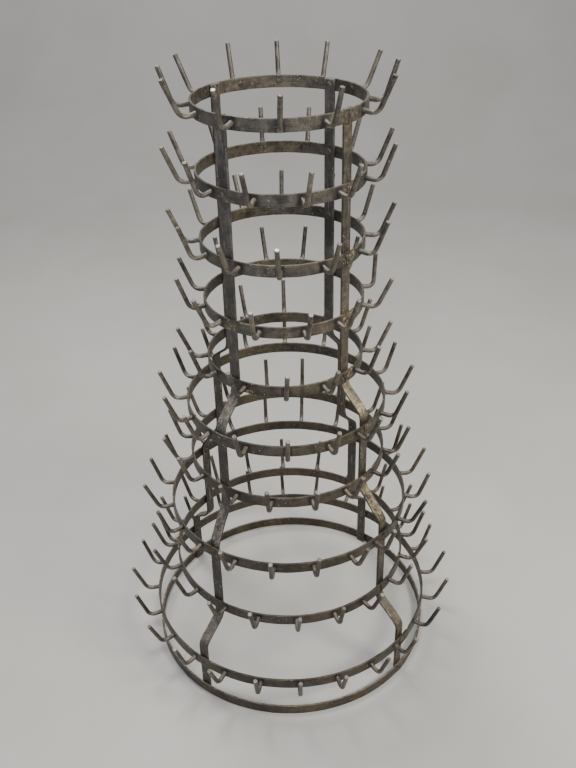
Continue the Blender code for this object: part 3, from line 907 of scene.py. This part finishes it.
# ---- floor, light and camera ------------------------------------------------------
FLOOR_DARK = (0.54, 0.52, 0.48, 1.0)
FLOOR_LIGHT = (0.58, 0.56, 0.525, 1.0)
BACKDROP = (0.90, 0.90, 0.89, 1.0)
FLOOR_HALF = 7.0
FLOOR_BACK = 4.2
FLOOR_BEND = 1.6
# The camera: metres, degrees, and millimetres for the sensor and the lens.
EYE_LEVEL = 1.533
CAMERA_DISTANCE = 1.515
CAMERA_PITCH = 31.32
CAMERA_YAW = 0.16
CAMERA_ROLL = -1.29
SENSOR_WIDTH = 36.0
LENS = 41.86


def build_stage():
    """A plain pale floor that curves up into a backdrop."""
    g = Graph("pale_floor")
    place = g.node("ShaderNodeTexCoord").outputs["Object"]
    colour = g.mix(g.span(g.noise(place, 2.2, 4.0, 0.6), 0.3, 0.7), FLOOR_DARK, FLOOR_LIGHT)
    colour = g.mix(g.span(g.split_height(place), 0.2, 2.6), colour, BACKDROP)
    shader = g.node("ShaderNodeBsdfPrincipled")
    g.feed(shader.inputs["Base Color"], colour)
    shader.inputs["Roughness"].default_value = 0.85
    g.feed(g.node("ShaderNodeOutputMaterial").inputs["Surface"], shader.outputs[0])
    flat_end = FLOOR_BACK - FLOOR_BEND
    profile = [(-FLOOR_HALF, 0.0), (flat_end, 0.0)]
    profile += [
        (flat_end + FLOOR_BEND * math.sin(turn), FLOOR_BEND - FLOOR_BEND * math.cos(turn))
        for turn in np.linspace(0.0, math.pi / 2, 18)[1:]
    ]
    profile.append((FLOOR_BACK, FLOOR_HALF))
    points = []
    faces = []
    for y, z in profile:
        points += [(-FLOOR_HALF, y, z), (FLOOR_HALF, y, z)]
    for step in range(len(profile) - 1):
        low = 2 * step
        faces.append((low, low + 1, low + 3, low + 2))
    mesh = bpy.data.meshes.new("floor")
    mesh.from_pydata(points, [], faces)
    mesh.polygons.foreach_set("use_smooth", [True] * len(faces))
    mesh.update()
    floor = bpy.data.objects.new("floor", mesh)
    bpy.context.scene.collection.objects.link(floor)
    mesh.materials.append(g.material)


def area_light(name, place, target, size, power, colour):
    data = bpy.data.lights.new(name, "AREA")
    data.shape = "DISK"
    data.size = size
    data.energy = power
    data.color = colour
    light = bpy.data.objects.new(name, data)
    light.location = place
    light.rotation_euler = (Vector(target) - Vector(place)).to_track_quat("-Z", "Y").to_euler()
    bpy.context.scene.collection.objects.link(light)


def build_lights():
    area_light("key", (1.9, -1.3, 2.3), (0.0, 0.0, 0.95), 0.9, 62.0, (1.0, 0.945, 0.86))
    area_light("overhead", (-0.6, 0.9, 3.4), (0.0, 0.0, 0.6), 1.0, 75.0, (1.0, 0.985, 0.95))
    area_light("front", (-0.5, -2.7, 2.4), (0.0, 0.0, 0.95), 1.2, 42.0, (0.88, 0.93, 1.0))
    world = bpy.data.worlds.new("studio")
    world.use_nodes = True
    background = world.node_tree.nodes["Background"]
    background.inputs["Color"].default_value = (0.74, 0.80, 0.90, 1.0)
    background.inputs["Strength"].default_value = 0.36
    bpy.context.scene.world = world


def build_camera():
    """A standing person's eye level, looking down at the rack from the front."""
    pitch = math.radians(CAMERA_PITCH)
    yaw = math.radians(CAMERA_YAW)
    roll = math.radians(CAMERA_ROLL)
    look = Vector((math.sin(yaw) * math.cos(pitch), math.cos(yaw) * math.cos(pitch), -math.sin(pitch)))
    right = Vector((math.cos(yaw), -math.sin(yaw), 0.0))
    up = right.cross(look)
    tilted_right = right * math.cos(roll) + up * math.sin(roll)
    tilted_up = up * math.cos(roll) - right * math.sin(roll)
    camera = bpy.data.objects.new("camera", bpy.data.cameras.new("camera"))
    camera.data.sensor_width = SENSOR_WIDTH
    camera.data.lens = LENS
    camera.data.clip_end = 60.0
    turn = Matrix((tilted_right, tilted_up, -look)).transposed()
    camera.matrix_world = Matrix.Translation((AXIS_X, AXIS_Y - CAMERA_DISTANCE, EYE_LEVEL)) @ turn.to_4x4()
    bpy.context.scene.collection.objects.link(camera)
    bpy.context.scene.camera = camera


for hoop_index in range(len(HOOP_TOPS)):
    build_strip(hoop_index)
    build_lap_rivets(hoop_index)
    if HOOK_COUNTS[hoop_index]:
        build_hooks(hoop_index)
    for upright_index in range(len(UPRIGHT_NAMES)):
        build_rivet(hoop_index, upright_index)
for upright_index in range(len(UPRIGHT_NAMES)):
    build_upright(upright_index)
build_crust()
build_stage()
build_lights()
build_camera()
